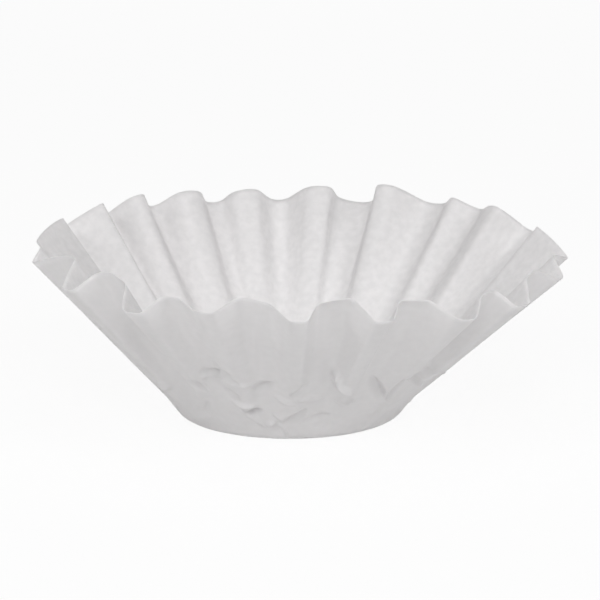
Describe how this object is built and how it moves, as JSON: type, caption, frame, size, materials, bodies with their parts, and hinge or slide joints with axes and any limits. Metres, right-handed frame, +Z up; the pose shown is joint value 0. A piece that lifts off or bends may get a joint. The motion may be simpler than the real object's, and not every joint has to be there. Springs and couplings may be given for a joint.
{
  "type": "paper coffee filter",
  "caption": "Flat-bottomed basket filter pressed from one round sheet of thin white paper, its flared wall gathered into uneven flutes, open at the top.",
  "frame": {"origin": "middle of the underside of the flat base, on the surface it stands on", "axes": "+Z up through the open mouth, +X to the right of the picture, +Y away from its camera"},
  "size_m": [0.1573, 0.1619, 0.0558],
  "materials": {
    "filter_paper": "matt, uncoated, slightly translucent"
  },
  "bodies": {
    "root": {"filter_paper": "filter_paper"}
  },
  "joints": []
}
